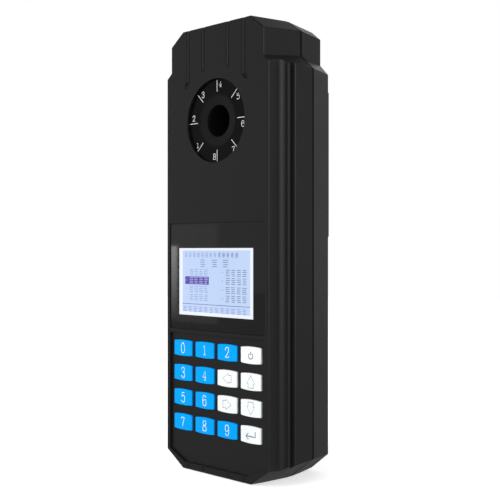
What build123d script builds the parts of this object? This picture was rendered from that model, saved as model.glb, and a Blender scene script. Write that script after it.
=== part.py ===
from build123d import *
from dataclasses import dataclass, replace
import os

# A hand-held analyzer that stands on its foot. Millimetres.
# X runs to the right as seen from the front, Y from the front to the back, Z up.
# The origin is at the middle of the foot. A depth is measured back from the front face.

# Housing
case_depth = 47.75          # front face to back plane
full_width_depth = 14.3     # depth at which the side walls reach their full width
wall = 2.5                  # side, end and back walls
front_wall = 3.2            # front wall, from the front face to its inner face
foot_trim = 1.2             # height cut off the parting edge to give a flat foot
end_corner = 17.8           # width of the slanted corners of foot and top, at the parting line
seam_gap = 1.2              # width of the seam between the two halves
gasket_recess = 0.8         # how far the gasket lies inside the seam
gasket_width = 1.5
front_edge_radius = 0.8
back_edge_radius = 1.0
front_side_inset = 4.7      # how much narrower each side is at the front face
head_inset = 8.3            # how much narrower each side of the head is than the body
shoulder_rise = 25.9        # from the middle of the well up to the shoulders
top_rise = 51.7             # from the middle of the well up to the top

# Side walls: a cove, a thin rib and a groove in front of the full width
cove_flat = 6.5             # straight part of the cove behind the front edge
cove_end = 10.0             # depth of the front of the thin rib
rib_width = 1.2
groove_inset = 2.4          # depth of the groove, in from the full width
groove_slope = 0.8          # length of the slope at each side of the groove
groove_edge_radius = 0.9    # rounding between the groove and the full width

# Grooves in the front of the head, which start again in the front of the foot
groove_radius = 1.3
groove_sink = 1.2           # depth of a groove
foot_groove_sink = 0.9
outer_groove_x = 21.0
outer_groove_rise = 22.1    # from the middle of the well up to the bend
outer_groove_shift = 1.8    # how far the lower end of an outer groove steps outwards
outer_groove_drop = 2.0     # height of that step
inner_groove_x = 9.4
inner_groove_rise = 27.9    # from the middle of the well up to the lower end

# Raised land on the back
land_height = 0.6
land_margin = 0.3
land_gap = 29.0             # from the battery door up to the land
land_drop = 10.2            # from the shoulders down to the land

# Display
display_margin = 2.7        # front face beside the display and the keypad
display_height = 56.8
display_corner = 1.2
lens_depth = 0.4            # depth of the outer face of the lens
lens_thickness = 1.0
lens_gap = 0.15
ledge = 2.5                 # width of the ledge that carries the lens
panel_side_margin = 2.5     # between the display glass and the opening of the housing
panel_top_margin = 7.2
panel_bottom_margin = 1.6
panel_shift = -1.1          # how far the display glass sits off the middle
panel_thickness = 2.8
panel_gap = 0.2             # between lens and display glass
backlight_margin = 1.0

# Keypad
keypad_bar = 2.0            # bar between display and keypad recess
keypad_bottom_z = 4.2
keypad_foot_margin = 1.9    # foot beside the straight lower edge of the recess
keypad_foot_rise = 5.8
keypad_depth = 1.2
key_side_margin = 3.045     # recess beside the keys
key_bottom_margin = 16.75   # recess below the keys
key_top_margin = 3.87       # recess above the keys
key_side_space = 2.77       # between neighbouring keys of a row
key_row_space = 4.56        # between the rows
key_height = 8.7            # height of a key in its middle
key_arch = 0.45             # how far the upper and lower edges of a key bow out
key_corner = 0.4
key_top_depth = 0.4
key_edge = 0.25             # bevel of the top edge of a key
key_gap = 0.25              # play of a key in its hole
key_travel = 0.6
key_rim = 0.8               # how far the flange of a key stands out
key_rim_thickness = 0.9
key_rim_gap = 0.1
mat_thickness = 1.2
mat_margin = 1.2            # mat beyond the flanges of the outer keys
mat_pad_width = 9.0
mat_pad_height = 5.0
mat_pad_gap = 0.1           # left between pad and key at the end of the travel
mat_roof = 0.5              # mat above the hollow that holds the snap domes
mat_skirt = 1.0             # edge of the mat that rests on the board
dome_radius = 3.5
dome_top_radius = 1.8
dome_height = 0.5
key_rows = (
    ("0", "1", "2", "escape"),
    ("3", "4", "left", "up"),
    ("5", "6", "right", "down"),
    ("7", "8", "9", "enter"),
)

# Main board
board_depth = 9.0
board_thickness = 1.6
board_side_gap = 1.7        # between the board and the side walls
board_edge = 0.6            # board beyond its posts
board_corner = 10.0
board_post_radius = 2.4
board_post_gap = 0.8        # between a post and the opening or key beside it
board_post_inset = 6.5      # from the side of the board to its posts
board_foot_post_inset = 14.5
board_screw_radius = 1.25
board_screw_head_radius = 2.2
board_screw_head = 1.6
board_screw_length = 5.6
board_hole_gap = 0.15
chip_size = 14.0
chip_thickness = 1.4
chip_drop = 19.3            # from the display down to the middle of the chip
buzzer_radius = 6.0
buzzer_height = 5.5
buzzer_hole_radius = 1.2
buzzer_hole_depth = 2.0
buzzer_x = 16.0
buzzer_drop = 24.1          # from the top of the display down to the buzzer

# Sample well and its scale ring
well_rise = 53.0            # from the display up to the middle of the well
well_radius = 8.25
well_floor = 2.0
well_back_gap = 3.25        # between the floor of the well and the back wall
sleeve_wall = 2.75
hub_radius = 17.7
hub_gap = 0.3
flange_thickness = 2.0
ring_radius = 21.65
ring_gap = 0.15
ring_face_depth = 1.5
ring_back_depth = 3.0
ring_cone_radius = 13.5
ring_hole_gap = 0.15        # how much wider the ring is than the well
ring_hole_depth = 2.4
collar_edge = 0.5           # collar of the front wall beyond the flange of the well
collar_depth = 6.0
well_gasket_thickness = 0.7
well_gasket_inset = 0.35
well_screw_count = 3
well_screw_space = 3.4      # from the hub to the middle of a well screw
well_screw_edge = 2.9       # flange beyond the middle of a well screw
well_screw_radius = 1.0
well_screw_head_radius = 1.9
well_screw_head = 1.4
well_screw_length = 4.0

# Light path across the well
optics_depth = 24.0
aperture_radius = 1.5
socket_gap = 0.1
lamp_radius = 2.5
lamp_wall = 1.65            # between the lamp and the well
lamp_length = 7.6
lamp_rim_radius = 2.9
lamp_rim = 1.0
lamp_socket_radius = 4.5
filter_radius = 4.0
filter_wall = 3.25          # between the filter and the well
filter_thickness = 2.0
photodiode_length = 3.5
photodiode_rim_radius = 4.6
photodiode_rim = 1.0
photodiode_socket_radius = 5.6
optics_board_width = 16.0
optics_board_height = 18.0

# Battery bay, open to the back
battery_radius = 7.1
battery_length = 49.2
battery_cap_radius = 2.75
battery_cap = 1.3
battery_count = 4
battery_side_gap = 0.6      # between neighbouring batteries
battery_gap = 0.05          # between a battery and the floor of the bay
battery_head_room = 1.35    # between the batteries and the door
contact_thickness = 0.5
contact_width = 9.0
contact_height = 11.0
leaf_room = 7.0             # room for a leaf spring at a minus end
leaf_gap = 0.1
leaf_top_half = 1.8         # half width of the flat that touches the battery
leaf_tail = 3.6             # how far the free end of a leaf bends back
leaf_tail_height = 3.3
bay_wall = 2.0
bay_floor = 1.75
bay_bottom_z = 25.8

# Battery door, hinged at its lower edge
door_lap = 1.55             # how far the door covers the wall of the bay
door_thickness = 2.2
door_gap = 0.25
door_ledge_gap = 0.1
door_corner = 1.5
door_edge = 5.0             # door above its screw
hinge_radius = 2.0
hinge_gap = 0.3
hinge_pin_radius = 1.0
hinge_pin_gap = 0.05
hinge_pin_length = 2.65
hinge_cap = 0.55            # wall at the end of a pin hole
hinge_margin = 8.2          # housing beside the hinge, at the parting line
sill_lap = 1.75             # sill behind the edge of the door
sill_height = 2.5
grip_count = 4
grip_width = 22.0
grip_height = 1.2
grip_pitch = 2.6
grip_sink = 0.7
grip_drop = 18.8            # from the door screw down to the lowest grip
door_screw_radius = 1.5
door_screw_head_radius = 3.5
door_screw_head = 1.4
door_screw_length = 5.35
door_screw_gap = 0.4        # room for the swing of the screw in its post
door_screw_slot = 1.0
door_post_radius = 4.2
door_post_gap = 0.8

# Screws that hold the housing together
case_screw_radius = 1.5
case_screw_head_radius = 2.8
case_screw_head = 2.4
case_screw_length = 16.0
case_screw_grip = 6.1       # from the parting line to the seat of a screw head
case_post_radius = 3.5
case_post_gap = 4.5         # between the middle posts and the board
case_post_inset = 4.0       # from the side of the board to the posts
case_foot_post_z = 12.8
case_head_post_inset = 11.1
case_head_post_drop = 15.0
case_hole_gap = 0.2
thread_gap = 0.05
screw_tip_gap = 0.5

# Places in depth that follow from the sizes above
total_depth = case_depth + land_height
front_y = -total_depth / 2
panel_depth = lens_depth + lens_thickness + panel_gap
key_back_depth = front_wall + key_rim_gap + key_rim_thickness
well_floor_depth = case_depth - wall - well_back_gap - well_floor
door_inner_depth = case_depth - door_thickness
bay_floor_depth = door_inner_depth - battery_head_room - 2 * battery_radius
battery_depth = bay_floor_depth + battery_radius + battery_gap
seam_depth = bay_floor_depth - bay_floor - seam_gap / 2
case_screw_seat_depth = seam_depth + case_screw_grip
hinge_depth = case_depth - hinge_radius
hinge_room = hinge_radius + hinge_gap

# Places across the width: the battery bay and its hinge set the width of the housing
battery_pitch = 2 * battery_radius + battery_side_gap
bay_half = battery_count * battery_pitch / 2 + battery_side_gap
door_half = bay_half + door_lap
hinge_half = door_half + door_gap + hinge_pin_length + hinge_cap
case_half = hinge_half + hinge_margin
front_half = case_half - front_side_inset
head_half = case_half - head_inset
end_half = case_half - end_corner
display_half = front_half - display_margin
keypad_foot_half = end_half - keypad_foot_margin
key_count = len(key_rows[0])
key_field = 2 * (display_half - key_side_margin)
key_width = (key_field - (key_count - 1) * key_side_space) / key_count
key_pitch_x = key_width + key_side_space
board_half = front_half - wall - board_side_gap
well_screw_place = hub_radius + well_screw_space
flange_radius = well_screw_place + well_screw_edge
collar_radius = flange_radius + collar_edge
lamp_tip_x = well_radius + lamp_wall
lamp_socket_x = lamp_tip_x + lamp_length
filter_x = well_radius + filter_wall
photodiode_x = filter_x + filter_thickness
photodiode_socket_x = photodiode_x + photodiode_length

# Heights, from the foot up
key_pitch_z = key_height + key_row_space
key_span = (len(key_rows) - 1) * key_pitch_z
key_row_z = keypad_bottom_z + key_bottom_margin + key_span + key_height / 2
keypad_top_z = key_row_z + key_height / 2 + key_top_margin
display_bottom_z = keypad_top_z + keypad_bar
display_top_z = display_bottom_z + display_height
well_z = display_top_z + well_rise
shoulder_z = well_z + shoulder_rise
top_z = well_z + top_rise
post_offset = board_post_gap + board_post_radius
board_posts = (
    (board_half - board_post_inset, display_top_z - ledge + post_offset),
    (board_half - board_post_inset, display_bottom_z + ledge - post_offset),
    (board_half - board_foot_post_inset, keypad_bottom_z + key_bottom_margin - key_rim - post_offset),
)
board_top_z = display_top_z - ledge + post_offset + board_post_radius + board_edge
board_bottom_z = board_posts[-1][1] - board_post_radius - board_edge
case_posts = (
    (board_half - case_post_inset, case_foot_post_z),
    (board_half - case_post_inset, board_top_z + case_post_gap + case_post_radius),
    (head_half - case_head_post_inset, top_z - case_head_post_drop),
)
bay_top_z = bay_bottom_z + battery_length + battery_cap + contact_thickness + leaf_room
hinge_z = bay_bottom_z - bay_wall - hinge_room - hinge_gap
door_screw_z = bay_top_z + bay_wall + door_post_radius + door_post_gap
door_top_z = door_screw_z + door_edge
reach = 2 * top_z           # longer than the housing, for cutting solids


@dataclass
class Section:
    """Outline of the housing at one depth."""
    depth: float
    side_inset: float       # how far the side of the body lies inside the full width
    head_inset: float       # the same for the head
    foot_inset: float       # how far the foot lies above the parting edge
    foot_rise: float        # height of the slanted lower corners
    shoulder_inset: float   # how far the body ends below the shoulder height
    ramp: float             # height of the slanted shoulders
    top_inset: float        # how far the top lies below the parting edge
    top_drop: float         # height of the slanted upper corners

    def outline(self):
        half = case_half - self.side_inset
        head = case_half - self.head_inset
        base = self.foot_inset - foot_trim
        shoulder = shoulder_z - self.shoulder_inset
        top = top_z - self.top_inset
        right = [
            (end_half, base), (half, base + self.foot_rise), (half, shoulder),
            (head, shoulder + self.ramp), (head, top - self.top_drop), (end_half, top),
        ]
        left = [(-x, z) for x, z in reversed(right)]
        return make_face(Polyline(right + left, close=True))

    def inner(self, distance):
        # The outline drawn in by a wall, with the foot already flat.
        trimmed = self.outline() & Pos(0, reach / 2) * Rectangle(reach, reach)
        return offset(trimmed, -distance, kind=Kind.INTERSECTION)

    def toward(self, other, depth):
        # The section at a depth between this one and another.
        share = (depth - self.depth) / (other.depth - self.depth)
        values = {
            name: start + (getattr(other, name) - start) * share
            for name, start in vars(self).items()
        }
        return Section(**values)


front_section = Section(
    depth=0.0, side_inset=front_side_inset, head_inset=head_inset, foot_inset=1.7,
    foot_rise=8.6, shoulder_inset=0.0, ramp=3.0, top_inset=1.7, top_drop=7.0,
)
seam_section = Section(
    depth=seam_depth, side_inset=0.0, head_inset=head_inset, foot_inset=0.0,
    foot_rise=13.0, shoulder_inset=1.0, ramp=7.5, top_inset=0.0, top_drop=6.4,
)
back_section = Section(
    depth=case_depth, side_inset=6.9, head_inset=12.2, foot_inset=2.8,
    foot_rise=8.6, shoulder_inset=0.9, ramp=5.5, top_inset=2.8, top_drop=4.6,
)
full_section = replace(
    front_section.toward(seam_section, full_width_depth), side_inset=0.0
)


def at_depth(depth):
    # Plane at a depth that faces the front, with X and Z as its own axes.
    return Plane.XZ.offset(-(front_y + depth))


def slab(sketch, near, far):
    # Solid between two depths, from a sketch in X and Z.
    return extrude(at_depth(far) * sketch, far - near)


def disc(x, z, radius, near, far):
    return slab(Pos(x, z) * Circle(radius), near, far)


def block(half, low_z, high_z, near, far):
    # Box centred on X, between two heights and two depths.
    sketch = Pos(0, (low_z + high_z) / 2) * Rectangle(2 * half, high_z - low_z)
    return slab(sketch, near, far)


def rod(radius, from_x, to_x, depth, z):
    # Cylinder along X.
    low, high = sorted((from_x, to_x))
    circle = Pos(front_y + depth, z) * Circle(radius)
    return extrude(Plane.YZ.offset(low) * circle, high - low)


def turned(points, z):
    # Solid turned about an axis along the depth, from points of radius and depth.
    profile = make_face(Polyline([(r, front_y + d) for r, d in points], close=True))
    return Pos(0, 0, z) * revolve(profile, Axis.Y)


def sides(pairs):
    # Each point and its mirror image in X.
    return [(side * x, z) for x, z in pairs for side in (-1, 1)]


def above_floor(solid):
    # The solid without what lies below the foot.
    cutter = Pos(0, 0, -reach / 2) * Box(reach, reach, reach)
    return solid - cutter


def key_places():
    for row, names in enumerate(key_rows):
        for column, name in enumerate(names):
            x = (column - (len(names) - 1) / 2) * key_pitch_x
            yield name, x, key_row_z - row * key_pitch_z


def well_screw_places():
    # The first screw is above the well.
    for place in PolarLocations(well_screw_place, well_screw_count, start_angle=90):
        yield place.position.X, place.position.Y + well_z


def key_outline():
    x = key_width / 2
    middle = key_height / 2
    end = middle - key_arch
    edges = [
        ThreePointArc((-x, end), (0, middle), (x, end)),
        Line((x, end), (x, -end)),
        ThreePointArc((x, -end), (0, -middle), (-x, -end)),
        Line((-x, -end), (-x, end)),
    ]
    face = make_face(edges)
    return fillet(face.vertices(), key_corner)


def side_cutter():
    # What the cove and the groove take away from the right side wall, seen from above.
    slope = front_side_inset / full_width_depth
    groove_start = cove_end + rib_width
    rib_front = front_half + slope * cove_end
    rib_back = front_half + slope * groove_start
    outside = case_half + wall
    floor = case_half - groove_inset
    cove = make_face([
        Polyline([
            (rib_front, cove_end), (outside, cove_end), (outside, -wall),
            (front_half, -wall), (front_half, cove_flat),
        ]),
        TangentArc((front_half, cove_flat), (rib_front, cove_end), tangent=(0, 1)),
    ])
    groove = make_face(Polyline([
        (rib_back, groove_start), (floor, groove_start + groove_slope),
        (floor, full_width_depth - groove_slope), (case_half, full_width_depth),
        (case_half, full_width_depth + wall), (outside, full_width_depth + wall),
        (outside, groove_start),
    ], close=True))
    edge = groove.vertices().sort_by_distance((case_half, full_width_depth))[0]
    groove = fillet(edge, groove_edge_radius)
    return extrude(Pos(0, front_y) * (cove + groove), reach)


def front_groove(points, sink):
    # Round-bottomed groove in the front face along points in X and Z.
    depth = sink - groove_radius
    places = [Vector(x, front_y + depth, z) for x, z in points]
    groove = Pos(*places[-1]) * Sphere(groove_radius)
    for start, end in zip(places, places[1:]):
        path = Line(start, end)
        groove += sweep(Plane(start, z_dir=path % 0) * Circle(groove_radius), path)
        groove += Pos(*end) * Sphere(groove_radius)
    return groove


def front_grooves():
    top = top_z + groove_radius
    low_x = outer_groove_x + outer_groove_shift
    bend_z = well_z + outer_groove_rise
    outer = [(outer_groove_x, top), (outer_groove_x, bend_z), (low_x, bend_z - outer_groove_drop)]
    inner = [(inner_groove_x, top), (inner_groove_x, well_z + inner_groove_rise)]
    right = [front_groove(outer, groove_sink), front_groove(inner, groove_sink)]
    for x in (inner_groove_x, outer_groove_x):
        path = [(x, -groove_radius), (x, keypad_bottom_z)]
        right.append(front_groove(path, foot_groove_sink))
    return right + [mirror(groove, Plane.YZ) for groove in right]


def keypad_outline():
    right = [
        (keypad_foot_half, keypad_bottom_z),
        (display_half, keypad_bottom_z + keypad_foot_rise),
        (display_half, keypad_top_z),
    ]
    left = [(-x, z) for x, z in reversed(right)]
    return make_face(Polyline(right + left, close=True))


def display_outline(inset):
    width = 2 * (display_half - inset)
    height = display_height - 2 * inset
    middle = display_bottom_z + display_height / 2
    return Pos(0, middle) * RectangleRounded(width, height, display_corner)


def front_shell():
    half_gap = seam_gap / 2
    lips = [s.outline() for s in (front_section, full_section, seam_section)]
    depths = [s.depth for s in (front_section, full_section, seam_section)]
    shell = loft([at_depth(d) * face for d, face in zip(depths, lips)], ruled=True)
    cutter = side_cutter()
    shell -= cutter
    shell -= mirror(cutter, Plane.YZ)
    front_face = shell.faces().sort_by(Axis.Y)[0]
    shell = fillet(front_face.edges(), front_edge_radius)
    for groove in front_grooves():
        shell -= groove
    shell -= slab(front_section.inner(wall), front_wall, seam_depth)
    shell -= slab(full_section.inner(wall), full_width_depth + wall, seam_depth)
    shell += disc(0, well_z, collar_radius, front_wall, collar_depth)
    for x, z in sides(case_posts):
        shell += disc(x, z, case_post_radius, front_wall, seam_depth)
    for x, z in sides(board_posts):
        shell += disc(x, z, board_post_radius, front_wall, board_depth)
    shell -= disc(0, well_z, ring_radius + ring_gap, -wall, ring_back_depth)
    shell -= disc(0, well_z, hub_radius + hub_gap, -wall, collar_depth)
    for x, z in well_screw_places():
        near = collar_depth + flange_thickness - well_screw_length - screw_tip_gap
        shell -= disc(x, z, well_screw_radius + thread_gap, near, collar_depth)
    shell -= slab(display_outline(0), -wall, lens_depth + lens_thickness)
    shell -= slab(display_outline(ledge), 0, front_wall)
    shell -= slab(keypad_outline(), -wall, keypad_depth)
    hole = offset(key_outline(), key_gap)
    for name, x, z in key_places():
        shell -= slab(Pos(x, z) * hole, 0, front_wall)
    for x, z in sides(case_posts):
        near = case_screw_seat_depth - case_screw_length - screw_tip_gap
        shell -= disc(x, z, case_screw_radius + thread_gap, near, seam_depth)
    for x, z in sides(board_posts):
        near = board_depth + board_thickness - board_screw_length - screw_tip_gap
        shell -= disc(x, z, board_screw_radius + thread_gap, near, board_depth)
    shell -= slab(Rectangle(reach, 2 * reach), seam_depth - half_gap, case_depth)
    return above_floor(shell)


def rear_shell():
    half_gap = seam_gap / 2
    faces = [at_depth(s.depth) * s.outline() for s in (seam_section, back_section)]
    shell = loft(faces, ruled=True)
    back_face = shell.faces().sort_by(Axis.Y)[-1]
    shell = fillet(back_face.edges(), back_edge_radius)
    back_inner = case_depth - wall
    cavity_back = replace(back_section, depth=back_inner)
    cavity = [at_depth(s.depth) * s.inner(wall) for s in (seam_section, cavity_back)]
    shell -= loft(cavity, ruled=True)
    land_half = case_half - back_section.side_inset - land_margin
    land_bottom = door_top_z + land_gap
    shell += block(land_half, land_bottom, shoulder_z - land_drop, back_inner, total_depth)
    shell += battery_bay()
    for x, z in sides(case_posts):
        shell += disc(x, z, case_post_radius, seam_depth, back_inner)
    for x, z in sides(case_posts):
        shell -= disc(x, z, case_screw_radius + case_hole_gap, seam_depth, case_depth)
        radius = case_screw_head_radius + case_hole_gap
        shell -= disc(x, z, radius, case_screw_seat_depth, total_depth)
    shell -= battery_bay_cuts()
    shell -= slab(Rectangle(reach, 2 * reach), 0, seam_depth + half_gap)
    return above_floor(shell)


def battery_bay():
    # Tray of the battery bay, the block of the hinge, the sill and the post of the door screw.
    inner = case_depth - wall
    half = bay_half + bay_wall
    near = bay_floor_depth - bay_floor
    bay = block(half, bay_bottom_z - bay_wall, bay_top_z + bay_wall, near, inner)
    hinge_foot = hinge_z - hinge_room - bay_wall
    hinge_near = hinge_depth - hinge_room - bay_wall
    bay += block(hinge_half, hinge_foot, bay_bottom_z, hinge_near, inner)
    sill_top = door_top_z + sill_height
    bay += block(door_half + sill_lap, bay_top_z, sill_top, inner - bay_wall, inner)
    post_near = door_inner_depth - door_screw_length - bay_wall
    bay += disc(0, door_screw_z, door_post_radius, post_near, inner)
    return bay


def battery_bay_cuts():
    # The bay itself, the seat of the door, the trough of the hinge and the pin holes.
    outside = case_depth + wall
    seat = door_inner_depth - door_ledge_gap
    edge = door_half + door_gap
    cuts = block(bay_half, bay_bottom_z, bay_top_z, bay_floor_depth, outside)
    cuts += block(edge, hinge_z, door_top_z + door_gap, seat, outside)
    cuts += rod(hinge_room, -edge, edge, hinge_depth, hinge_z)
    cuts += block(edge, hinge_z - hinge_room, hinge_z + hinge_room, hinge_depth, outside)
    pin_end = door_half + hinge_pin_length + door_gap
    cuts += rod(hinge_pin_radius + hinge_pin_gap, -pin_end, pin_end, hinge_depth, hinge_z)
    radius = door_screw_radius + door_screw_gap
    near = door_inner_depth - door_screw_length
    cuts += disc(0, door_screw_z, radius, near, outside)
    return cuts


def seam_gasket():
    ring = seam_section.inner(gasket_recess) - seam_section.inner(gasket_recess + gasket_width)
    return slab(ring, seam_depth - seam_gap / 2, seam_depth + seam_gap / 2)


def display_lens():
    return slab(display_outline(lens_gap), lens_depth, lens_depth + lens_thickness)


def panel_outline(inset):
    # Outline of the display glass, which lies in the opening behind the lens.
    low = display_bottom_z + ledge + panel_bottom_margin + inset
    high = display_top_z - ledge - panel_top_margin - inset
    width = 2 * (display_half - ledge - panel_side_margin - inset)
    return Pos(panel_shift, (low + high) / 2) * Rectangle(width, high - low)


def lcd_panel():
    return slab(panel_outline(0), panel_depth, panel_depth + panel_thickness)


def lcd_backlight():
    return slab(panel_outline(backlight_margin), panel_depth + panel_thickness, board_depth)


def key():
    # One key at the middle of its hole: the cap, and the flange that holds it in.
    rim_near = front_wall + key_rim_gap
    cap = slab(key_outline(), key_top_depth, rim_near)
    top = cap.faces().sort_by(Axis.Y)[0]
    cap = chamfer(top.edges(), key_edge)
    rim = Rectangle(key_width + 2 * key_rim, key_height + 2 * key_rim)
    return cap + slab(rim, rim_near, key_back_depth)


def keypad_mat():
    # Sheet on the board, with a pad under each key and a hollow for the snap domes.
    width = key_field + 2 * mat_margin
    height = key_span + key_height + 2 * mat_margin
    middle = key_row_z - key_span / 2
    near = board_depth - mat_thickness
    sheet = Pos(0, middle) * Rectangle(width, height)
    mat = slab(sheet, near, board_depth)
    mat -= slab(offset(sheet, -mat_skirt, kind=Kind.INTERSECTION), near + mat_roof, board_depth)
    pad_near = key_back_depth + key_travel + mat_pad_gap
    for name, x, z in key_places():
        mat += slab(Pos(x, z) * Rectangle(mat_pad_width, mat_pad_height), pad_near, near)
    return mat


def key_domes():
    top = board_depth - dome_height
    profile = [(0, top), (dome_top_radius, top), (dome_radius, board_depth), (0, board_depth)]
    dome = turned(profile, 0)
    return [Pos(x, 0, z) * dome for name, x, z in key_places()]


def main_board():
    low = board_bottom_z
    right = [
        (board_half - board_corner, low), (board_half, low + board_corner),
        (board_half, board_top_z),
    ]
    left = [(-x, z) for x, z in reversed(right)]
    sketch = make_face(Polyline(right + left, close=True))
    for x, z in sides(board_posts):
        sketch -= Pos(x, z) * Circle(board_screw_radius + board_hole_gap)
    return slab(sketch, board_depth, board_depth + board_thickness)


def screw(x, z, radius, length, head_radius, head, seat):
    # Screw put in from the back, with its head on a seat at this depth.
    return disc(x, z, radius, seat - length, seat) + disc(x, z, head_radius, seat, seat + head)


def board_screws():
    seat = board_depth + board_thickness
    return [
        screw(x, z, board_screw_radius, board_screw_length, board_screw_head_radius,
              board_screw_head, seat)
        for x, z in sides(board_posts)
    ]


def case_screws():
    return [
        screw(x, z, case_screw_radius, case_screw_length, case_screw_head_radius,
              case_screw_head, case_screw_seat_depth)
        for x, z in sides(case_posts)
    ]


def processor_chip():
    near = board_depth + board_thickness
    square = Pos(0, display_bottom_z - chip_drop) * Rectangle(chip_size, chip_size)
    return slab(square, near, near + chip_thickness)


def buzzer():
    near = board_depth + board_thickness
    far = near + buzzer_height
    z = display_top_z - buzzer_drop
    can = disc(buzzer_x, z, buzzer_radius, near, far)
    return can - disc(buzzer_x, z, buzzer_hole_radius, far - buzzer_hole_depth, far)


def scale_ring():
    hole = well_radius + ring_hole_gap
    return turned([
        (ring_radius, ring_face_depth), (ring_cone_radius, ring_face_depth),
        (hole, ring_hole_depth), (hole, ring_back_depth),
        (ring_radius, ring_back_depth),
    ], well_z)


def well_gasket():
    inner = well_radius + well_gasket_inset
    outer = well_radius + sleeve_wall
    ring = Pos(0, well_z) * (Circle(outer) - Circle(inner))
    return slab(ring, ring_back_depth, ring_back_depth + well_gasket_thickness)


def sample_well():
    top = ring_back_depth + well_gasket_thickness
    outer = well_radius + sleeve_wall
    bottom = well_floor_depth + well_floor
    well = disc(0, well_z, outer, top, bottom)
    well += disc(0, well_z, hub_radius, top, collar_depth)
    well += disc(0, well_z, flange_radius, collar_depth, collar_depth + flange_thickness)
    well += rod(lamp_socket_radius, 0, lamp_socket_x, optics_depth, well_z)
    well += rod(photodiode_socket_radius, 0, -photodiode_socket_x, optics_depth, well_z)
    well -= rod(lamp_radius + socket_gap, lamp_tip_x, lamp_socket_x, optics_depth, well_z)
    well -= rod(filter_radius + socket_gap, -filter_x, -photodiode_socket_x, optics_depth, well_z)
    well -= rod(aperture_radius, -photodiode_socket_x, lamp_socket_x, optics_depth, well_z)
    well -= disc(0, well_z, well_radius, top, well_floor_depth)
    for x, z in well_screw_places():
        far = collar_depth + flange_thickness
        well -= disc(x, z, well_screw_radius + case_hole_gap, collar_depth, far)
    return well


def well_screws():
    seat = collar_depth + flange_thickness
    return [
        screw(x, z, well_screw_radius, well_screw_length, well_screw_head_radius,
              well_screw_head, seat)
        for x, z in well_screw_places()
    ]


def led_lamp():
    tip = lamp_tip_x + lamp_radius
    body = rod(lamp_radius, tip, lamp_socket_x, optics_depth, well_z)
    body += Pos(tip, front_y + optics_depth, well_z) * Sphere(lamp_radius)
    rim_end = lamp_socket_x + lamp_rim
    return body + rod(lamp_rim_radius, lamp_socket_x, rim_end, optics_depth, well_z)


def optics_board(near_x, side):
    # Small upright board against the end of a socket.
    middle = side * (near_x + board_thickness / 2)
    size = (board_thickness, optics_board_width, optics_board_height)
    return Pos(middle, front_y + optics_depth, well_z) * Box(*size)


def lamp_board():
    return optics_board(lamp_socket_x + lamp_rim, 1)


def detector_board():
    return optics_board(photodiode_socket_x + photodiode_rim, -1)


def optical_filter():
    return rod(filter_radius, -filter_x, -photodiode_x, optics_depth, well_z)


def photodiode():
    start = photodiode_socket_x
    end = start + photodiode_rim
    body = rod(filter_radius, -photodiode_x, -start, optics_depth, well_z)
    return body + rod(photodiode_rim_radius, -start, -end, optics_depth, well_z)


def battery_places():
    # Number, place across the bay and direction of the plus end of each battery.
    for number in range(battery_count):
        x = (number - (battery_count - 1) / 2) * battery_pitch
        yield number + 1, x, 1 if number % 2 == 0 else -1


def plus_end_z(direction):
    # Height of the tip of the plus end, which touches its contact plate.
    if direction > 0:
        return bay_top_z - contact_thickness
    return bay_bottom_z + contact_thickness


def battery(x, direction):
    tip = plus_end_z(direction)
    face = tip - direction * battery_cap
    middle = face - direction * battery_length / 2
    y = front_y + battery_depth
    can = Pos(x, y, middle) * Cylinder(battery_radius, battery_length)
    can += Pos(x, y, (face + tip) / 2) * Cylinder(battery_cap_radius, battery_cap)
    return can


def contact_plate(x, end_z, inward):
    middle = end_z + inward * contact_thickness / 2
    size = (contact_width, contact_height, contact_thickness)
    return Pos(x, front_y + battery_depth, middle) * Box(*size)


def battery_plates():
    plates = []
    for number, x, direction in battery_places():
        end_z = bay_top_z if direction > 0 else bay_bottom_z
        plates.append(contact_plate(x, end_z, -direction))
    return plates


def battery_springs():
    # Bent leaf springs between the minus ends and the ends of the bay.
    springs = []
    low = contact_thickness / 2
    high = leaf_room - low - leaf_gap
    y = battery_depth + front_y
    reach_y = contact_height / 2
    for number, x, direction in battery_places():
        end_z = bay_bottom_z if direction > 0 else bay_top_z
        path = Polyline(
            (y - reach_y, end_z + direction * low), (y + reach_y, end_z + direction * low),
            (y + leaf_top_half, end_z + direction * high),
            (y - leaf_top_half, end_z + direction * high),
            (y - leaf_tail, end_z + direction * leaf_tail_height),
        )
        leaf = trace(path, line_width=contact_thickness)
        plane = Plane.YZ.offset(x - contact_width / 2)
        springs.append(extrude(plane * leaf, contact_width))
    return springs


def battery_door():
    low = hinge_z - hinge_radius
    middle = (low + door_top_z) / 2
    outline = Pos(0, middle) * Rectangle(2 * door_half, door_top_z - low)
    upper = outline.vertices().sort_by(Axis.Y)[-2:]
    outline = fillet(upper, door_corner)
    outline &= Pos(0, hinge_z + reach / 2) * Rectangle(reach, reach)
    door = slab(outline, door_inner_depth, case_depth)
    door += rod(hinge_radius, -door_half, door_half, hinge_depth, hinge_z)
    pin = door_half + hinge_pin_length
    door += rod(hinge_pin_radius, -pin, pin, hinge_depth, hinge_z)
    for number in range(grip_count):
        z = door_screw_z - grip_drop + number * grip_pitch
        slot = Pos(0, z) * SlotOverall(grip_width, grip_height)
        door -= slab(slot, case_depth - grip_sink, case_depth)
    radius = door_screw_head_radius + door_gap
    door -= disc(0, door_screw_z, radius, case_depth - door_screw_head, case_depth)
    door -= disc(0, door_screw_z, door_screw_radius + case_hole_gap, 0, case_depth)
    return door


def door_screw():
    seat = case_depth - door_screw_head
    tip = door_inner_depth - door_screw_length + screw_tip_gap
    body = screw(0, door_screw_z, door_screw_radius, seat - tip, door_screw_head_radius,
                 door_screw_head, seat)
    slot = Pos(0, door_screw_z) * Rectangle(2 * door_screw_head_radius, door_screw_slot)
    return body - slab(slot, case_depth - door_screw_head / 2, case_depth)


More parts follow.
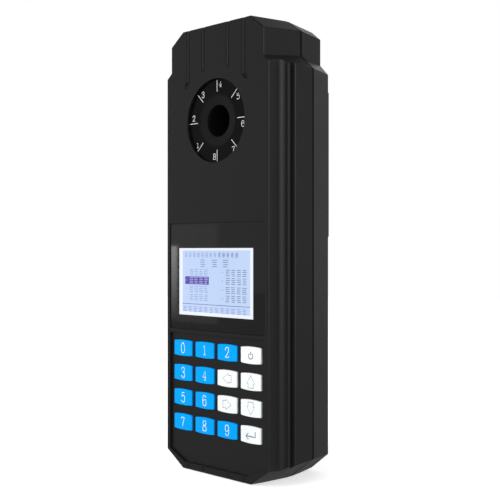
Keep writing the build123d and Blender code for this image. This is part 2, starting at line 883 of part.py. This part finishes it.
def save(name, solids):
    shape = Compound(children=solids) if isinstance(solids, list) else solids
    export_step(shape, os.path.join("parts", name + ".step"))


def build():
    os.makedirs("parts", exist_ok=True)
    makers = (
        front_shell, rear_shell, seam_gasket, display_lens, lcd_panel, lcd_backlight,
        keypad_mat, key_domes, main_board, board_screws, case_screws, processor_chip,
        buzzer, scale_ring, well_gasket, sample_well, well_screws, led_lamp, lamp_board,
        optical_filter, photodiode, detector_board, battery_plates, battery_springs,
        battery_door, door_screw,
    )
    for maker in makers:
        save(maker.__name__, maker())
    cap = key()
    for name, x, z in key_places():
        save("key_" + name, Pos(x, 0, z) * cap)
    for number, x, direction in battery_places():
        save("battery_cell_" + str(number), battery(x, direction))


build()
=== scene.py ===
import bpy
import math
import random
from mathutils import Matrix, Vector


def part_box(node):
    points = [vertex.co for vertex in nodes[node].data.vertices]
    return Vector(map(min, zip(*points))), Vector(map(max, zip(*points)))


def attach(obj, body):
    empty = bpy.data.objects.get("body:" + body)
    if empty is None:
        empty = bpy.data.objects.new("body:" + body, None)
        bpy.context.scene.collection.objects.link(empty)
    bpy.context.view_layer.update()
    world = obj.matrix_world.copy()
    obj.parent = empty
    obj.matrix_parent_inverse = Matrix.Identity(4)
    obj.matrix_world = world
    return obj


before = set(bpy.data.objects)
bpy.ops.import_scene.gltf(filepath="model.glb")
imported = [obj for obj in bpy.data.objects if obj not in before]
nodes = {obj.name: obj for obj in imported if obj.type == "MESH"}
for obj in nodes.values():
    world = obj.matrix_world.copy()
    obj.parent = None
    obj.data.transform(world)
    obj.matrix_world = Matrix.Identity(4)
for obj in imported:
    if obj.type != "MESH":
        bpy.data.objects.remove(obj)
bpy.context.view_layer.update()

mm = 0.001
keyNames = [name for name in nodes if name.startswith("key_") and name != "key_domes"]


def select(pieces):  # only these, and the first is the active one
    bpy.ops.object.select_all(action="DESELECT")
    for piece in pieces:
        piece.select_set(True)
    bpy.context.view_layer.objects.active = pieces[0]


def joined(pieces, name):
    select(pieces)
    if len(pieces) > 1:
        bpy.ops.object.join()
    bpy.context.object.name = name
    return bpy.context.object


# Camera
cameraSet = {
    "place": (0.35533, -0.353815, 0.1178),
    "turn": math.radians(45),
    "lens": 67.18,
    "sensor": 36.0,
}


def makeCamera():
    bpy.ops.object.camera_add(location=cameraSet["place"])
    camera = bpy.context.object
    camera.rotation_euler = (math.radians(90), 0, cameraSet["turn"])
    camera.data.lens = cameraSet["lens"]
    camera.data.sensor_width = cameraSet["sensor"]
    camera.data.clip_start = 0.01
    bpy.context.scene.camera = camera
    print("camera in place")


makeCamera()


# Materials
class Value:  # a socket that can stand in sums
    def __init__(self, maker, socket):
        self.maker = maker
        self.socket = socket

    def math(self, operation, *others, flip=False):
        terms = [self, *others]
        if flip:
            terms.reverse()
        return self.maker.add("ShaderNodeMath", dict(enumerate(terms)), operation=operation)

    def __add__(self, other): return self.math("ADD", other)
    def __radd__(self, other): return self.math("ADD", other, flip=True)
    def __sub__(self, other): return self.math("SUBTRACT", other)
    def __rsub__(self, other): return self.math("SUBTRACT", other, flip=True)
    def __mul__(self, other): return self.math("MULTIPLY", other)
    def __rmul__(self, other): return self.math("MULTIPLY", other, flip=True)
    def __truediv__(self, other): return self.math("DIVIDE", other)
    def __lt__(self, other): return self.math("LESS_THAN", other)
    def __gt__(self, other): return self.math("GREATER_THAN", other)


class Maker:  # the nodes of one material, or of the world
    def __init__(self, name, world=False):
        self.owner = (bpy.data.worlds if world else bpy.data.materials).new(name)
        self.owner.use_nodes = True
        self.tree = self.owner.node_tree
        self.tree.nodes.clear()
        kind = "ShaderNodeOutputWorld" if world else "ShaderNodeOutputMaterial"
        self.output = self.tree.nodes.new(kind)

    def add(self, kind, sockets=None, out=0, **settings):  # settings come before the sockets
        node = self.tree.nodes.new(kind)
        for key, value in settings.items():
            setattr(node, key, value)
        for key, value in (sockets or {}).items():
            if isinstance(value, Value):
                self.tree.links.new(value.socket, node.inputs[key])
            else:
                node.inputs[key].default_value = value
        return Value(self, node.outputs[out])

    def place(self):  # object coordinates, in metres
        return self.add("ShaderNodeTexCoord", out="Object")

    def other(self, value, out):  # another output of the same node
        return Value(self, value.socket.node.outputs[out])

    def axes(self):  # x, y and z of the place
        split = self.add("ShaderNodeSeparateXYZ", {0: self.place()})
        return [self.other(split, i) for i in range(3)]

    def noise(self, scale, detail=2.0, rough=0.5):
        return self.add("ShaderNodeTexNoise", {
            "Vector": self.place(), "Scale": scale, "Detail": detail, "Roughness": rough,
        }, out="Fac")

    def mix(self, share, low, high):  # colours
        return self.add("ShaderNodeMix", {0: share, 6: low, 7: high}, out=2, data_type="RGBA")

    def bump(self, height, depth):  # depth in metres
        return self.add("ShaderNodeBump", {"Height": height, "Distance": depth})

    def surface(self, **sockets):
        names = {key.replace("_", " "): value for key, value in sockets.items()}
        return self.add("ShaderNodeBsdfPrincipled", names)

    def finish(self, shader):
        self.tree.links.new(shader.socket, self.output.inputs[0])
        return self.owner


def rgb(r, g, b):  # from 0 to 255, as written in a picture
    def linear(c):
        c /= 255
        return c / 12.92 if c <= 0.04045 else ((c + 0.055) / 1.055) ** 2.4
    return (linear(r), linear(g), linear(b), 1.0)


def shade(colour, factor):  # lighter or darker, and as solid as before
    return tuple(c * factor for c in colour[:3]) + (colour[3],)


plainWhite = (1, 1, 1, 1)


housingSet = {
    "colour": rgb(21, 21, 22),
    "grain": 2600.0,  # grains a metre
    "grainDepth": 0.02 * mm,
    "clouds": 38.0,  # clouds a metre
    "roughness": 0.42,
    "specular": 0.5,
    "tint": 0.1,  # how far clouds lighten and darken the colour
    "fleck": 0.12,  # how far grains do
    "cloudRoughness": 0.1,  # and how far each changes the roughness
    "grainRoughness": 0.08,
}


def housingPlastic():
    m = Maker("housingPlastic")
    colour, cloudTint, fleck = housingSet["colour"], housingSet["tint"], housingSet["fleck"]
    clouds = m.noise(housingSet["clouds"], 3.0)
    grain = m.noise(housingSet["grain"], 2.0, 0.6)
    slow = m.mix(clouds, shade(colour, 1 - cloudTint), shade(colour, 1 + cloudTint))
    fine = m.mix(grain, shade(colour, 1 - fleck), shade(colour, 1 + fleck))
    rough = housingSet["roughness"] + housingSet["cloudRoughness"] * (clouds - 0.5)
    rough = rough + housingSet["grainRoughness"] * (grain - 0.5)
    return m.finish(m.surface(
        Base_Color=m.mix(0.5, slow, fine), Roughness=rough,
        Specular_IOR_Level=housingSet["specular"], Normal=m.bump(grain, housingSet["grainDepth"]),
    ))


plasticSet = {
    "grain": 1800.0,
    "grainDepth": 0.01 * mm,
    "clouds": 120.0,
    "tint": 0.06,
    "cloudRoughness": 0.06,
}


def plainPlastic(name, colour, roughness, specular=0.5):
    m = Maker(name)
    grain = m.noise(plasticSet["grain"])
    clouds = m.noise(plasticSet["clouds"])
    low, high = shade(colour, 1 - plasticSet["tint"]), shade(colour, 1 + plasticSet["tint"])
    rough = roughness + plasticSet["cloudRoughness"] * (clouds - 0.5)
    return m.finish(m.surface(
        Base_Color=m.mix(clouds, low, high), Roughness=rough,
        Specular_IOR_Level=specular, Normal=m.bump(grain, plasticSet["grainDepth"]),
    ))


metalSet = {
    "grain": 1500.0,
    "grainDepth": 0.008 * mm,
    "dark": 0.85,
    "bright": 1.1,
    "grainRoughness": 0.12,
}


def metal(name, colour, roughness, stretch):
    m = Maker(name)
    spread = m.add("ShaderNodeMapping", {"Vector": m.place(), "Scale": stretch})
    fine = m.add("ShaderNodeTexNoise", {
        "Vector": spread, "Scale": metalSet["grain"], "Detail": 2.0,
    }, out="Fac")
    low, high = shade(colour, metalSet["dark"]), shade(colour, metalSet["bright"])
    rough = roughness + metalSet["grainRoughness"] * (fine - 0.5)
    return m.finish(m.surface(
        Base_Color=m.mix(fine, low, high), Metallic=1.0, Roughness=rough,
        Normal=m.bump(fine, metalSet["grainDepth"]),
    ))


def paint(piece, material):  # one material all over
    piece.data.materials.clear()
    piece.data.materials.append(material)


def dress(material, *names):  # nodes of the frame
    for name in names:
        paint(nodes[name], material)


windowSet = {
    "black": rgb(14, 14, 15),
    "left": -29.9 * mm,  # the clear part of the lens
    "right": 27.5 * mm,
    "bottom": 83.0 * mm,
    "top": 118.8 * mm,
    "clear": (0.93, 0.94, 0.97, 1.0),
    "roughness": 0.03,
    "ior": 1.5,
    "clouds": 60.0,
    "tint": 0.1,
    "cloudRoughness": 0.02,
}


def windowMask(m):  # 1 where the window is clear
    x, y, z = m.axes()
    inside = (x > windowSet["left"]) * (x < windowSet["right"])
    return inside * (z > windowSet["bottom"]) * (z < windowSet["top"])


def windowGlass():
    m = Maker("windowGlass")
    black, tint = windowSet["black"], windowSet["tint"]
    clouds = m.noise(windowSet["clouds"])
    border = m.surface(
        Base_Color=m.mix(clouds, shade(black, 1 - tint), shade(black, 1 + tint)),
        Roughness=windowSet["roughness"] + windowSet["cloudRoughness"] * clouds,
    )
    through = m.add("ShaderNodeBsdfTransparent", {0: windowSet["clear"]})
    gloss = m.add("ShaderNodeBsdfGlossy", {
        "Color": plainWhite, "Roughness": windowSet["roughness"],
    })
    front = 1.0 - m.add("ShaderNodeNewGeometry", out="Backfacing")
    share = m.add("ShaderNodeFresnel", {"IOR": windowSet["ior"]}) * front
    clear = m.add("ShaderNodeMixShader", {0: share, 1: through, 2: gloss})
    return m.finish(m.add("ShaderNodeMixShader", {0: windowMask(m), 1: border, 2: clear}))


pictureSet = {
    "edge": rgb(250, 254, 255),
    "page": rgb(195, 214, 247),
    "pageTint": rgb(207, 230, 251),
    "ink": rgb(84, 88, 150),
    "faintInk": rgb(142, 150, 208),
    "bar": rgb(92, 62, 168),
    "dark": (0.02, 0.02, 0.03, 1),  # colour where it doesn't glow
    "glow": 1.06,
    "pageClouds": 25.0,
    "inkClouds": 300.0,
    "pageLeft": -27.4 * mm,  # the page inside the pale edge
    "pageRight": 24.2 * mm,
    "pageBottom": 84.8 * mm,
    "pageTop": 117.6 * mm,
}


def displayPage():
    m = Maker("displayPage")
    x, y, z = m.axes()
    inside = (x > pictureSet["pageLeft"]) * (x < pictureSet["pageRight"])
    inside = inside * (z > pictureSet["pageBottom"]) * (z < pictureSet["pageTop"])
    clouds = m.noise(pictureSet["pageClouds"], 1.0)
    page = m.mix(clouds, pictureSet["page"], pictureSet["pageTint"])
    colour = m.mix(inside, pictureSet["edge"], page)
    return m.finish(m.surface(
        Base_Color=pictureSet["dark"], Emission_Color=colour,
        Emission_Strength=pictureSet["glow"], Roughness=0.3,
    ))


def glowInk(name, colour):
    m = Maker(name)
    clouds = m.noise(pictureSet["inkClouds"], 1.0)
    return m.finish(m.surface(
        Base_Color=pictureSet["dark"], Roughness=0.4,
        Emission_Color=m.mix(clouds, shade(colour, 0.92), shade(colour, 1.06)),
        Emission_Strength=pictureSet["glow"],
    ))


boardSet = {
    "green": rgb(16, 84, 44),
    "copper": rgb(40, 120, 66),  # tracks under the lacquer
    "tracks": 420.0,  # tracks a metre
    "trackWidth": 0.12,  # as a share of their distance
    "trackHeight": 0.03 * mm,
    "roughness": 0.35,
    "coat": 0.3,
}


def boardLacquer():
    m = Maker("boardLacquer")
    edge = m.add("ShaderNodeTexVoronoi", {"Vector": m.place(), "Scale": boardSet["tracks"]},
                 out="Distance", feature="DISTANCE_TO_EDGE")
    track = edge < boardSet["trackWidth"]
    return m.finish(m.surface(
        Base_Color=m.mix(track, boardSet["green"], boardSet["copper"]),
        Roughness=boardSet["roughness"], Coat_Weight=boardSet["coat"],
        Normal=m.bump(track, boardSet["trackHeight"]),
    ))


batterySet = {
    "jacket": rgb(38, 40, 44),
    "band": rgb(178, 124, 62),
    "steel": rgb(190, 190, 186),
    "bandShare": 0.38,  # of the length, at the plus end
    "steelShare": 0.015,  # at each end
    "grain": 900.0,
    "roughness": 0.3,
    "grainRoughness": 0.1,
    "metallic": 0.6,
    "coat": 0.3,
}


def batteryJacket(name, plusUp):
    m = Maker(name)
    x, y, z = m.axes()
    low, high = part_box(name)
    up = (z - low.z) / (high.z - low.z)
    band = (up > 1 - batterySet["bandShare"]) if plusUp else (up < batterySet["bandShare"])
    grain = m.noise(batterySet["grain"])
    steel = (up > 1 - batterySet["steelShare"]) + (up < batterySet["steelShare"])
    colour = m.mix(band, batterySet["jacket"], batterySet["band"])
    return m.finish(m.surface(
        Base_Color=m.mix(steel, colour, batterySet["steel"]), Metallic=batterySet["metallic"],
        Roughness=batterySet["roughness"] + batterySet["grainRoughness"] * grain,
        Coat_Weight=batterySet["coat"],
    ))


ringSet = {
    "black": rgb(7, 7, 8),
    "inner": rgb(23, 23, 24),
    "middle": 185.1 * mm,  # height of its centre
    "innerRadius": 13.3 * mm,  # of the paler, duller field around the well
    "blend": 2.0 * mm,
    "specular": 0.15,
    "roughness": 0.3,
    "innerRoughness": 0.15,  # what the inner field adds
    "clouds": 200.0,
    "cloudRoughness": 0.04,
}


def ringGloss():
    m = Maker("ringGloss")
    x, y, z = m.axes()
    rise = z - ringSet["middle"]
    radius = (x * x + rise * rise).math("SQRT")
    inner = (ringSet["innerRadius"] - radius) / ringSet["blend"] + 0.5
    inner = inner.math("MINIMUM", 1.0).math("MAXIMUM", 0.0)
    rough = ringSet["roughness"] + ringSet["innerRoughness"] * inner
    rough = rough + ringSet["cloudRoughness"] * m.noise(ringSet["clouds"])
    return m.finish(m.surface(
        Base_Color=m.mix(inner, ringSet["black"], ringSet["inner"]), Roughness=rough,
        Specular_IOR_Level=ringSet["specular"],
    ))


keySet = {
    "blue": rgb(0, 160, 248),
    "white": rgb(240, 243, 244),
    "roughness": 0.45,
    "blueSpecular": 0.05,
    "whiteSpecular": 0.3,
    "digit": rgb(245, 250, 252),
    "symbol": rgb(118, 148, 152),
}


smallSet = {  # colour, roughness, specular and pieces of each plain finish
    "sealRubber": (rgb(9, 9, 9), 0.8, 0.5, ["seam_gasket", "well_gasket"]),
    "lightGuide": (rgb(225, 225, 222), 0.6, 0.5, ["lcd_backlight"]),
    "siliconeRubber": (rgb(150, 152, 156), 0.7, 0.5, ["keypad_mat"]),
    "chipResin": (rgb(28, 28, 30), 0.6, 0.5, ["processor_chip", "buzzer"]),
    "wellBlack": (rgb(10, 10, 10), 0.7, 0.2, ["sample_well"]),
    "lampResin": (rgb(220, 225, 228), 0.12, 0.5, ["led_lamp"]),
    "filterGlass": (rgb(120, 60, 170), 0.08, 0.5, ["optical_filter"]),
}
metalPieces = {  # colour, roughness, stretch of the grain and pieces of each metal
    "springSteel": (rgb(200, 200, 196), 0.28, (1, 1, 1),
                    ["key_domes", "battery_plates", "battery_springs"]),
    "screwSteel": (rgb(150, 150, 152), 0.35, (1, 6, 1),
                   ["board_screws", "case_screws", "well_screws", "door_screw"]),
    "sensorCan": (rgb(205, 196, 160), 0.3, (1, 1, 1), ["photodiode"]),
}


def keyLabel(name):
    return name.removeprefix("key_")


def makeMaterials():
    dress(housingPlastic(), "front_shell", "rear_shell", "battery_door")
    dress(windowGlass(), "display_lens")
    dress(displayPage(), "lcd_panel")
    dress(ringGloss(), "scale_ring")
    dress(boardLacquer(), "main_board", "lamp_board", "detector_board")
    rough = keySet["roughness"]
    blue = plainPlastic("keyBlue", keySet["blue"], rough, keySet["blueSpecular"])
    white = plainPlastic("keyWhite", keySet["white"], rough, keySet["whiteSpecular"])
    for name in keyNames:
        dress(blue if keyLabel(name).isdigit() else white, name)
    for finish, (colour, roughness, specular, pieces) in smallSet.items():
        dress(plainPlastic(finish, colour, roughness, specular), *pieces)
    for finish, (colour, roughness, stretch, pieces) in metalPieces.items():
        dress(metal(finish, colour, roughness, stretch), *pieces)
    cells = sorted(name for name in nodes if name.startswith("battery_cell_"))
    for place, name in enumerate(cells):  # every other cell is upside down
        dress(batteryJacket(name, place % 2 == 0), name)
    print("materials made")


makeMaterials()


# Printed marks: flat strokes on a face that looks to the front
inkThickness = 0.03 * mm


def strokes(name, paths, width, faceY, closed=False, smooth=False, flatEnds=False):
    curve = bpy.data.curves.new(name, "CURVE")
    curve.dimensions = "3D"
    curve.bevel_depth = width / 2
    curve.bevel_resolution = 0 if flatEnds else 1
    curve.use_fill_caps = True
    for path in paths:
        spline = curve.splines.new("NURBS" if smooth else "POLY")
        spline.points.add(len(path) - 1)
        for point, (x, z) in zip(spline.points, path):
            point.co = (x, 0, z, 1)
        spline.use_cyclic_u = closed
        if smooth:
            spline.order_u = 3
            spline.use_endpoint_u = True
    piece = bpy.data.objects.new(name, curve)
    bpy.context.scene.collection.objects.link(piece)
    select([piece])
    bpy.ops.object.convert(target="MESH")
    piece = bpy.context.object
    flat = Matrix.Diagonal((1, inkThickness / (width / 2), 1, 1))
    piece.data.transform(Matrix.Translation((0, faceY, 0)) @ flat)
    return piece


# Numbers drawn with a round pen, in a box from -1 to 1.
# Each has its curved strokes first, by their control points, and then its straight ones.
numbers = {
    "0": ([[(0, 1), (0.9, 0.8), (0.9, -0.8), (0, -1.25),
            (-0.9, -0.8), (-0.9, 0.8), (0, 1.25), (0.5, 1.1)]], []),
    "1": ([], [[(-0.45, 0.72), (0.05, 1), (0.05, -1)], [(-0.45, -1), (0.55, -1)]]),
    "2": ([[(-0.75, 0.45), (-0.8, 1.1), (0.8, 1.2), (0.85, 0.3), (0.1, -0.3), (-0.8, -1)]],
          [[(-0.8, -1), (0.8, -1), (0.85, -0.7)]]),
    "3": ([[(-0.7, 0.6), (-0.6, 1.15), (0.75, 1.2), (0.75, 0.2), (-0.2, 0.1)],
           [(-0.2, 0.1), (0.9, 0.1), (0.9, -1.1), (-0.6, -1.2), (-0.8, -0.6)]], []),
    "4": ([], [[(0.35, -1), (0.35, 1), (-0.85, -0.4), (0.85, -0.4)], [(-0.05, -1), (0.75, -1)]]),
    "5": ([[(-0.6, 0.1), (0.1, 0.5), (1, 0.2), (0.85, -1.1), (-0.5, -1.15), (-0.8, -0.7)]],
          [[(0.7, 1), (-0.5, 1), (-0.6, 0.1)]]),
    "6": ([[(0.75, 0.7), (0.4, 1.2), (-0.9, 1), (-0.9, -0.9), (0, -1.2),
            (0.9, -0.9), (0.8, 0.2), (0, 0.3), (-0.8, -0.1)]], []),
    "7": ([[(0.8, 1), (0.1, 0.1), (-0.2, -1)]], [[(-0.8, 0.6), (-0.75, 1), (0.8, 1)]]),
    "8": ([[(0, 0.05), (0.75, 0.2), (0.7, 1.1), (0, 1.05), (-0.7, 1.1), (-0.75, 0.2), (0, 0.05)],
           [(0, 0.05), (0.9, -0.1), (0.9, -1.2), (0, -1),
            (-0.9, -1.2), (-0.9, -0.1), (0, 0.05)]], []),
}
# a 9 is a 6 turned by half a turn
numbers["9"] = ([[(-x, -z) for x, z in path] for path in numbers["6"][0]], [])


def digit(name, label, look, x, z, faceY):
    line = look["digitLine"]
    halfWidth, halfHeight = look["width"] / 2, (look["height"] - line) / 2
    curved, straight = (
        [[(x + px * halfWidth, z + pz * halfHeight) for px, pz in path] for path in paths]
        for paths in numbers[label]
    )
    pieces = []
    if curved:
        pieces.append(strokes(name, curved, line, faceY, smooth=True))
    if straight:
        pieces.append(strokes(name + "_straight", straight, line, faceY))
    return joined(pieces, name)


# Ring marks
markSet = {
    "radii": (15.1 * mm, 21.1 * mm),  # where the ticks start and end
    "tickLine": 0.4 * mm,
    "height": 3.0 * mm,
    "width": 2.15 * mm,
    "digitLine": 0.35 * mm,
    "colour": rgb(225, 228, 230),
    "places": {  # x and z of each number from the middle of the ring, in mm
        "4": (2.4, 18.7), "5": (15.5, 11.0), "6": (19.1, -3.3), "7": (12.2, -15.8),
        "8": (-2.0, -18.6), "1": (-15.1, -11.8), "2": (-18.2, 2.7), "3": (-10.9, 14.6),
    },
}


def ringMarks():
    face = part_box("scale_ring")[0].y
    middle = ringSet["middle"]
    places = markSet["places"]
    rays = []
    for step in range(len(places)):
        turn = math.tau * step / len(places)
        rays.append([
            (radius * math.sin(turn), middle + radius * math.cos(turn))
            for radius in markSet["radii"]
        ])
    ticks = strokes("ring_ticks", rays, markSet["tickLine"], face)
    figures = joined([
        digit("n" + label, label, markSet, x * mm, middle + z * mm, face)
        for label, (x, z) in places.items()
    ], "ring_numbers")
    white = plainPlastic("markWhite", markSet["colour"], 0.5)
    for piece in (ticks, figures):
        paint(piece, white)
        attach(piece, "case")
    print("ring marked")


ringMarks()


# Picture on the display, with bars in place of words: x and z in mm from the middle of the foot
screenSet = {
    "line": 0.34,
    "word": (3.3, 2.9),  # width and height of a word in the menu
    "menu": {"rows": (105.95, 101.65, 97.0, 92.6), "columns": (-25.5, 2.6), "words": 4},
    "wordSteps": (3.813, 4.1),  # from word to word, in each column
    "wordStart": 3.6,  # from the start of a row
    "dash": (0.9, 1.6),  # the short mark before a row
    "marked": (-25.3, -6.5, 99.5, 103.7),  # left, right, bottom and top of the marked row
    "title": {"places": (-13.7, -4.3, 4.0), "level": 110.8, "word": (4.4, 3.4)},
    "date": {"start": -25.6, "step": 3.25, "words": 13, "level": 115.2, "word": (2.3, 2.0)},
    "darkFrom": -1,  # words of the date to the right of this are dark
    "status": {"start": -27.0, "step": 4.15, "words": 12, "level": 86.3, "word": (3.2, 2.4)},
    "rule": [(-27.7, 89.0), (24.0, 89.0)],
    "seed": 5,
}


def wordBars(dice, x, z, size):  # four lines in place of one word
    width, height = size
    bars = []
    for step in range(4):
        level = z + height * (step / 3 - 0.5)
        start = x + width * dice.uniform(0.0, 0.2)
        bars.append([(start, level), (x + width * dice.uniform(0.8, 1.0), level)])
    return bars


def wordPlaces(line):
    return [line["start"] + word * line["step"] for word in range(line["words"])]


def screenLines():  # the paths in dark, faint and light ink
    dice = random.Random(screenSet["seed"])
    dark, faint, light = [], [], []
    menu, title = screenSet["menu"], screenSet["title"]
    date, status = screenSet["date"], screenSet["status"]
    for column, x in enumerate(menu["columns"]):
        for row, z in enumerate(menu["rows"]):
            marked = column == 0 and row == 1
            ink = light if marked else (dark if column else faint)
            ink.append([(x + end, z) for end in screenSet["dash"]])
            for word in range(menu["words"]):
                place = x + screenSet["wordStart"] + word * screenSet["wordSteps"][column]
                ink.extend(wordBars(dice, place, z, screenSet["word"]))
    for x in title["places"]:
        dark.extend(wordBars(dice, x, title["level"], title["word"]))
    for x in wordPlaces(date):
        ink = dark if x > screenSet["darkFrom"] else faint
        ink.extend(wordBars(dice, x, date["level"], date["word"]))
    for x in wordPlaces(status):
        faint.extend(wordBars(dice, x, status["level"], status["word"]))
    dark.append(screenSet["rule"])
    return dark, faint, light


def screenPicture():
    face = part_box("lcd_panel")[0].y
    dark, faint, light = screenLines()
    left, right, bottom, top = screenSet["marked"]
    middle = (bottom + top) / 2
    bar = [[(left, middle), (right, middle)]]
    line = screenSet["line"]
    layers = [  # name, paths, width, lift from the glass, ink
        ("screen_mark", bar, top - bottom, 0.0, glowInk("markInk", pictureSet["bar"])),
        ("screen_dark", dark, line, 0.02, glowInk("darkInk", pictureSet["ink"])),
        ("screen_faint", faint, line, 0.02, glowInk("faintInk", pictureSet["faintInk"])),
        ("screen_light", light, line, 0.04, glowInk("lightInk", pictureSet["page"])),
    ]
    for name, paths, width, lift, ink in layers:
        paths = [[(x * mm, z * mm) for x, z in path] for path in paths]
        piece = strokes(name, paths, width * mm, face - lift * mm, flatEnds=name == "screen_mark")
        paint(piece, ink)
        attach(piece, "case")
    print("display drawn")


screenPicture()


# Key legends
legendSet = {
    "height": 5.2 * mm,
    "width": 3.0 * mm,
    "digitLine": 0.42 * mm,
    "line": 0.45 * mm,
    "arrow": 3.1 * mm,  # half of its length
    "arrowTurns": {"up": 0, "left": 90, "down": 180, "right": 270},
    "arrowSide": [(0.88, -0.27), (0.6, -0.27), (0.6, -1)],  # head and shaft, right of the tip
    "enterLine": 0.72 * mm,
    "enterShaft": [(3.2, 1.8), (3.2, -0.8), (-3.2, -0.8)],  # in mm from the middle of the key
    "enterHead": [(-1.6, 0.8), (-3.4, -0.8), (-1.6, -2.4)],
    "powerLine": 0.675 * mm,
    "powerBar": [(0, 1.9), (0, 0.1)],
    "powerRing": (1.5, -0.3, range(40, 321, 20)),  # radius, height of its middle, angles
}


def arrowPath(turn):  # in shares of its size, from the middle of the key
    side = legendSet["arrowSide"]
    outline = [(0, 1)] + side + [(-x, z) for x, z in reversed(side)]
    cosine, sine = math.cos(turn), math.sin(turn)
    return [(x * cosine - z * sine, x * sine + z * cosine) for x, z in outline]


def powerRing():
    radius, height, angles = legendSet["powerRing"]
    turns = [math.radians(angle) for angle in angles]
    return [(radius * math.sin(turn), height + radius * math.cos(turn)) for turn in turns]


def legend(label, x, z, face):
    name = "legend_" + label
    if label.isdigit():
        return digit(name, label, legendSet, x, z, face)
    scale, closed = mm, False
    if label in legendSet["arrowTurns"]:
        paths = [arrowPath(math.radians(legendSet["arrowTurns"][label]))]
        scale, line, closed = legendSet["arrow"], legendSet["line"], True
    elif label == "enter":
        paths = [legendSet["enterShaft"], legendSet["enterHead"]]
        line = legendSet["enterLine"]
    else:
        paths = [powerRing(), legendSet["powerBar"]]
        line = legendSet["powerLine"]
    paths = [[(x + scale * px, z + scale * pz) for px, pz in path] for path in paths]
    return strokes(name, paths, line, face, closed=closed)


def keyLegends():
    digitInk = plainPlastic("digitInk", keySet["digit"], 0.5)
    symbolInk = plainPlastic("symbolInk", keySet["symbol"], 0.5)
    for name in keyNames:
        low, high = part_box(name)
        label = keyLabel(name)
        piece = legend(label, (low.x + high.x) / 2, (low.z + high.z) / 2, low.y)
        paint(piece, digitInk if label.isdigit() else symbolInk)
        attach(piece, "cap_" + label)
        "key_white" if not label.isdigit() else "key_blue"
    print("keys printed")


keyLegends()


# Floor, world and light
stageSet = {
    "floor": 3.0,
    "floorColour": (0.8, 0.8, 0.8, 1),
    "floorLift": 0.6,  # its own light for the camera
    "ambient": 0.6,  # light of the room on the object
    "gloss": 0.4,  # what the dark plastic mirrors of the room
    "floorGloss": 0.27,  # and of the floor
    "topFade": 0.8,  # how much less it mirrors from above
}


def makeStage():
    bpy.ops.mesh.primitive_plane_add(size=stageSet["floor"], location=(0, 0, 0))
    floor = bpy.context.object
    floor.name = "floor"
    m = Maker("floorPaper")
    path = m.add("ShaderNodeLightPath")
    glossy = m.other(path, "Is Glossy Ray")
    seen = path + m.other(path, "Is Transmission Ray")
    paper = m.add("ShaderNodeAddShader", {  # clear white to the camera, and it keeps a shadow
        0: m.add("ShaderNodeBsdfDiffuse", {0: stageSet["floorColour"]}),
        1: m.add("ShaderNodeEmission", {0: plainWhite, 1: seen * stageSet["floorLift"]}),
    })
    dim = m.add("ShaderNodeEmission", {0: plainWhite, 1: stageSet["floorGloss"]})
    paint(floor, m.finish(m.add("ShaderNodeMixShader", {0: glossy, 1: paper, 2: dim})))

    m = Maker("studio", world=True)
    path = m.add("ShaderNodeLightPath")
    glossy = m.other(path, "Is Glossy Ray")
    seen = path + m.other(path, "Is Transmission Ray")
    sky = m.add("ShaderNodeTexCoord", out="Generated")
    up = m.other(m.add("ShaderNodeSeparateXYZ", {0: sky}), 2)
    mirrored = stageSet["gloss"] * (1.0 - stageSet["topFade"] * up.math("MAXIMUM", 0.0))
    level = stageSet["ambient"] + (1.0 - stageSet["ambient"]) * seen
    level = level + (mirrored - stageSet["ambient"]) * glossy
    bpy.context.scene.world = m.finish(m.add("ShaderNodeBackground", {0: plainWhite, 1: level}))


lampSet = {  # place, aim, width, height, watts
    "front": ((-0.5, -1.5, 0.9), (0, 0, 0.12), 1.2, 1.0, 20.0),
    "side": ((1.6, 0.1, 0.7), (0, 0, 0.12), 0.9, 1.2, 7.0),
}
# Cards are seen in reflections alone
cardSet = {  # place, aim, width, height, glow at the top and at the bottom
    "right": ((1.05, -0.5, 0.25), (0, 0, 0.12), 1.3, 1.3, 1.5, 1.5),
    "dark": ((-0.2, -1.2, 0.3), (0, 0, 0.12), 0.5, 1.4, 0.02, 0.02),
    "back": ((-0.55, 1.25, 0.75), (0, 0, 0.2), 0.9, 0.5, 1.2, 1.2),
    "strip": ((-0.807, -0.68, 0.062), (0, -0.68, 0.062), 0.0176, 0.124, 4.2, 0.3),
    "sheet": ((-0.808, -0.70, 0.08), (0, -0.70, 0.08), 0.17, 0.16, 0.56, 0.52),
}
uprightCards = ("strip", "sheet")  # they face the part squarely, for the window to mirror


def makeLamps():
    for name, (place, aim, width, height, watts) in lampSet.items():
        bpy.ops.object.light_add(type="AREA", location=place)
        lamp = bpy.context.object
        lamp.name = name + "_lamp"
        lamp.data.shape = "RECTANGLE"
        lamp.data.size = width
        lamp.data.size_y = height
        lamp.data.energy = watts
        lamp.rotation_euler = (Vector(aim) - Vector(place)).to_track_quat("-Z", "Y").to_euler()
        lamp.visible_glossy = False
    for name, (place, aim, width, height, topGlow, lowGlow) in cardSet.items():
        upright = name in uprightCards
        bpy.ops.mesh.primitive_plane_add(size=1, location=place)
        card = bpy.context.object
        card.name = name + "_card"
        card.scale = (width, height, 1)
        look = Vector((0, 1, 0)) if upright else Vector(aim) - Vector(place)
        card.rotation_euler = look.to_track_quat("-Z", "Y").to_euler()
        m = Maker(name + "Card")
        up = m.axes()[1]
        glow = (lowGlow + topGlow) / 2 + (topGlow - lowGlow) * up
        paint(card, m.finish(m.add("ShaderNodeEmission", {0: plainWhite, 1: glow})))
        card.visible_camera = False
        card.visible_diffuse = False
        card.visible_shadow = False
    print("stage lit")


makeStage()
makeLamps()

bpy.context.scene.view_settings.view_transform = "Standard"
